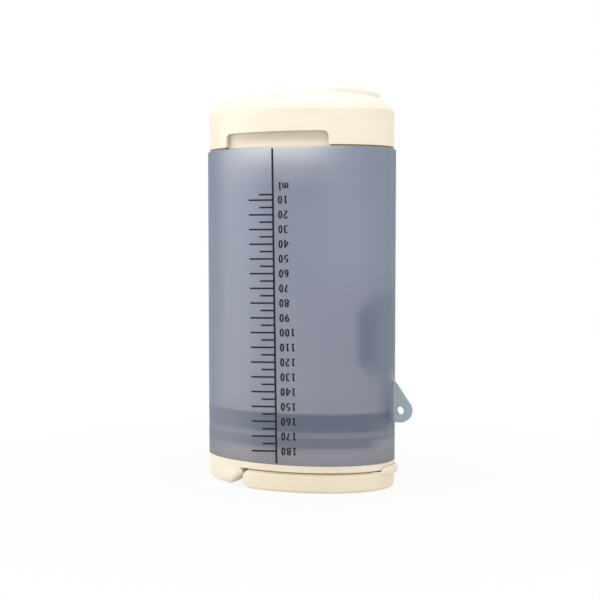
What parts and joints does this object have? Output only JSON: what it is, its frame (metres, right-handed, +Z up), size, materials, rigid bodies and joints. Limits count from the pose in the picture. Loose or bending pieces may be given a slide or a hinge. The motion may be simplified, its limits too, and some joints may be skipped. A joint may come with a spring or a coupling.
{
  "type": "urine bottle",
  "caption": "Small oval graduated urine bottle standing on its hinged lid, with a translucent tank, strap ear, pull-off domed base cap with air button and a non-return flap.",
  "frame": {"origin": "where the tank's axis meets the surface that the closed lid stands on", "axes": "+Z up along the tank's axis, +X along the oval's long axis towards the strap ear, -Y towards the side with the printed scale"},
  "size_m": [0.0748, 0.045, 0.135],
  "materials": {
    "tank_plastic": "smoky blue translucent plastic, satin",
    "body_white": "warm white plastic, satin",
    "inner_white": "warm white plastic, matt",
    "dark_seal": "dark grey elastic seal",
    "soft_white": "off-white silicone",
    "screw_steel": "plain stainless steel",
    "pin_steel": "ground stainless steel",
    "spring_steel": "drawn spring wire"
  },
  "bodies": {
    "bottle": {"tank": "tank_plastic", "mouth_collar": "body_white", "collar_seal": "dark_seal", "hinge_block": "body_white", "hinge_block_screws": "screw_steel", "hinge_pin": "pin_steel", "valve_seat": "inner_white", "flap_pin": "pin_steel"},
    "lid": {"lid": "body_white", "lid_liner": "inner_white", "lid_gasket": "soft_white"},
    "flap": {"non_return_flap": "soft_white"},
    "base": {"base_cap": "body_white", "base_plug": "inner_white", "base_seal": "soft_white", "vent_spring": "spring_steel"},
    "vent": {"vent_button": "body_white", "vent_stem": "inner_white", "vent_seal": "soft_white"}
  },
  "joints": [
    {"name": "lid_hinge", "type": "hinge", "parent": "bottle", "child": "lid", "pos_m": [-0.0096, 0, 0.00325], "axis": [0, 1, 0], "range_deg": [0, 130]},
    {"name": "flap_hinge", "type": "hinge", "parent": "bottle", "child": "flap", "pos_m": [-0.0048, 0, 0.0142], "axis": [0, -1, 0], "range_deg": [0, 75], "stiffness_Nm_per_rad": 0.0008},
    {"name": "base_pull", "type": "slide", "parent": "bottle", "child": "base", "axis": [0, 0, 1], "range_m": [0, 0.03]},
    {"name": "vent_press", "type": "slide", "parent": "base", "child": "vent", "axis": [0, 0, -1], "range_m": [0, 0.0012], "stiffness_N_per_m": 400, "deforming": ["vent_spring"]}
  ]
}
